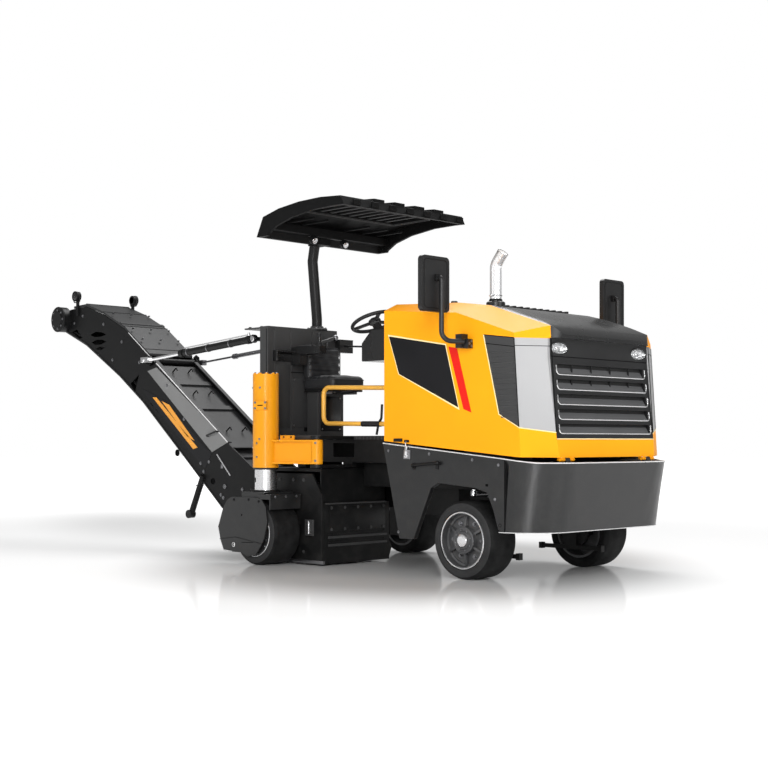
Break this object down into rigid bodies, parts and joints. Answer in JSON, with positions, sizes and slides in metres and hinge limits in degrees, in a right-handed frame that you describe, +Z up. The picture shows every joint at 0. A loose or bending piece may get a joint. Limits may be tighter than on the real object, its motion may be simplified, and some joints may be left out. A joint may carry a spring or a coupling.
{
  "type": "wheeled cold planer milling machine",
  "caption": "Compact wheeled cold planer: tilting hood, swing-in rear support wheel, milling drum, operator platform with canopy, and a slewing, lifting rear loading conveyor.",
  "frame": {"origin": "centre of the machine's bounding box, at ground level under the wheels", "axes": "+X forward to the engine end, +Y to the machine's left, +Z up"},
  "size_m": [6.1337, 2.245, 2.788],
  "materials": {
    "hood_paint": "semi-gloss orange-yellow paint",
    "leg_paint": "semi-gloss orange-yellow paint",
    "dark_grey": "satin dark grey paint",
    "black_paint": "satin black paint",
    "black_plastic": "matt moulded black plastic",
    "silver_paint": "satin silver-grey paint",
    "conveyor_grey": "satin mid-grey paint",
    "tyre": "solid rubber, worn",
    "rim": "grey painted cast wheel",
    "chrome": "polished",
    "machined_steel": "machined bright steel",
    "cast": "worn cast steel",
    "belt": "rubber conveyor belt",
    "seat_vinyl": "dark grey vinyl",
    "lamp_glass": "clear lamp lens"
  },
  "bodies": {
    "chassis": {"main_frame": "black_paint", "axle_pivot_block": "black_paint", "platform_frame": "black_paint", "hydraulic_tank": "black_paint", "radiator": "black_plastic", "front_skirt": "dark_grey", "side_skirts": "dark_grey", "platform_deck": "black_paint", "bulkhead": "black_paint", "drum_housing": "black_paint", "drum_side_plate": "black_paint", "front_axle": "black_paint", "engine_block": "cast", "rear_tower": "black_paint", "canopy_post": "black_paint", "canopy_roof": "black_plastic", "seat_pedestal": "black_paint", "operator_seat": "seat_vinyl", "armrest_controls": "black_plastic", "steering_console": "black_plastic", "steering_wheel": "black_plastic", "handrail": "leg_paint", "left_leg": "black_paint"},
    "hood": {"hood_shell": "hood_paint", "hood_top": "black_plastic", "grille": "black_plastic", "hood_side_vents": "black_plastic", "hood_corner_panels": "silver_paint", "headlights": "lamp_glass", "exhaust_pipe": "chrome", "mirrors": "black_plastic"},
    "knuckle_right": {"steering_knuckle_right": "black_paint"},
    "knuckle_left": {"steering_knuckle_left": "black_paint"},
    "tie_rod": {"steering_tie_rod": "machined_steel"},
    "front_wheel_right": {"front_tyre_right": "tyre", "front_rim_right": "rim"},
    "front_wheel_left": {"front_tyre_left": "tyre", "front_rim_left": "rim"},
    "right_leg": {"right_leg_housing": "leg_paint", "right_leg_strut": "chrome", "right_wheel_fork": "black_paint"},
    "rear_wheel_right": {"rear_tyre_right": "tyre", "rear_rim_right": "rim"},
    "rear_wheel_left": {"rear_tyre_left": "tyre", "rear_rim_left": "rim"},
    "drum": {"milling_drum": "cast"},
    "conveyor_slew": {"conveyor_turntable": "black_paint", "lift_yoke": "black_paint"},
    "conveyor": {"conveyor_frame": "conveyor_grey", "conveyor_head_pulley": "black_paint", "conveyor_cover": "conveyor_grey", "conveyor_belt": "belt"},
    "lift_cylinder": {"lift_cylinder": "black_paint"},
    "lift_rod": {"lift_rod": "chrome"},
    "stay_tube": {"stay_tube": "machined_steel"},
    "stay_rod": {"stay_rod": "machined_steel"}
  },
  "joints": [
    {"name": "hood_tilt", "type": "hinge", "parent": "chassis", "child": "hood", "pos_m": [2.979, 0, 0.826], "axis": [0, 1, 0], "range_deg": [0, 50]},
    {"name": "steer_right", "type": "hinge", "parent": "chassis", "child": "knuckle_right", "pos_m": [2.33, -0.475, 0.27], "axis": [0, 0, 1], "range_deg": [-30, 30]},
    {"name": "steer_left", "type": "hinge", "parent": "chassis", "child": "knuckle_left", "pos_m": [2.33, 0.475, 0.27], "axis": [0, 0, 1], "range_deg": [-30, 30]},
    {"name": "tie_rod_shift", "type": "slide", "parent": "chassis", "child": "tie_rod", "axis": [0, 1, 0], "range_m": [-0.09, 0.09]},
    {"name": "front_wheel_spin_right", "type": "hinge", "parent": "knuckle_right", "child": "front_wheel_right", "pos_m": [2.33, -0.655, 0.27], "axis": [0, 1, 0], "continuous": true},
    {"name": "front_wheel_spin_left", "type": "hinge", "parent": "knuckle_left", "child": "front_wheel_left", "pos_m": [2.33, 0.655, 0.27], "axis": [0, 1, 0], "continuous": true},
    {"name": "right_leg_swing", "type": "hinge", "parent": "chassis", "child": "right_leg", "pos_m": [0.862, -0.795, 0.86], "axis": [0, 0, 1], "range_deg": [0, 180]},
    {"name": "rear_wheel_spin_right", "type": "hinge", "parent": "right_leg", "child": "rear_wheel_right", "pos_m": [0.47, -0.9555, 0.25], "axis": [0, 1, 0], "continuous": true},
    {"name": "rear_wheel_spin_left", "type": "hinge", "parent": "chassis", "child": "rear_wheel_left", "pos_m": [0.48, 0.64, 0.25], "axis": [0, 1, 0], "continuous": true},
    {"name": "drum_spin", "type": "hinge", "parent": "chassis", "child": "drum", "pos_m": [0.565, -0.52, 0.372], "axis": [0, 1, 0], "continuous": true},
    {"name": "conveyor_slew", "type": "hinge", "parent": "chassis", "child": "conveyor_slew", "pos_m": [-0.01, -0.405, 0.52], "axis": [0, 0, 1], "range_deg": [-30, 30]},
    {"name": "conveyor_lift", "type": "hinge", "parent": "conveyor_slew", "child": "conveyor", "pos_m": [-0.01, -0.405, 0.52], "axis": [0, 1, 0], "range_deg": [-12, 8]},
    {"name": "lift_cylinder_pivot", "type": "hinge", "parent": "conveyor_slew", "child": "lift_cylinder", "pos_m": [-0.01, -0.695, 1.78], "axis": [0, 1, 0], "range_deg": [-12, 8]},
    {"name": "lift_rod_slide", "type": "slide", "parent": "lift_cylinder", "child": "lift_rod", "axis": [-0.9971, 0, -0.0759], "range_m": [-0.18, 0.27]},
    {"name": "stay_pivot", "type": "hinge", "parent": "conveyor_slew", "child": "stay_tube", "pos_m": [-0.01, -0.115, 1.78], "axis": [0, 1, 0], "range_deg": [-12, 8]},
    {"name": "stay_rod_slide", "type": "slide", "parent": "stay_tube", "child": "stay_rod", "axis": [-0.9971, 0, -0.0759], "range_m": [-0.18, 0.27]}
  ],
  "couplings": [
    {"joint": "steer_left", "follows": "steer_right", "ratio": 1},
    {"joint": "tie_rod_shift", "follows": "steer_right", "m_per_rad": -0.16},
    {"joint": "lift_cylinder_pivot", "follows": "conveyor_lift", "ratio": 0.93},
    {"joint": "lift_rod_slide", "follows": "conveyor_lift", "m_per_rad": -1.249},
    {"joint": "stay_pivot", "follows": "conveyor_lift", "ratio": 0.93},
    {"joint": "stay_rod_slide", "follows": "conveyor_lift", "m_per_rad": -1.249}
  ]
}
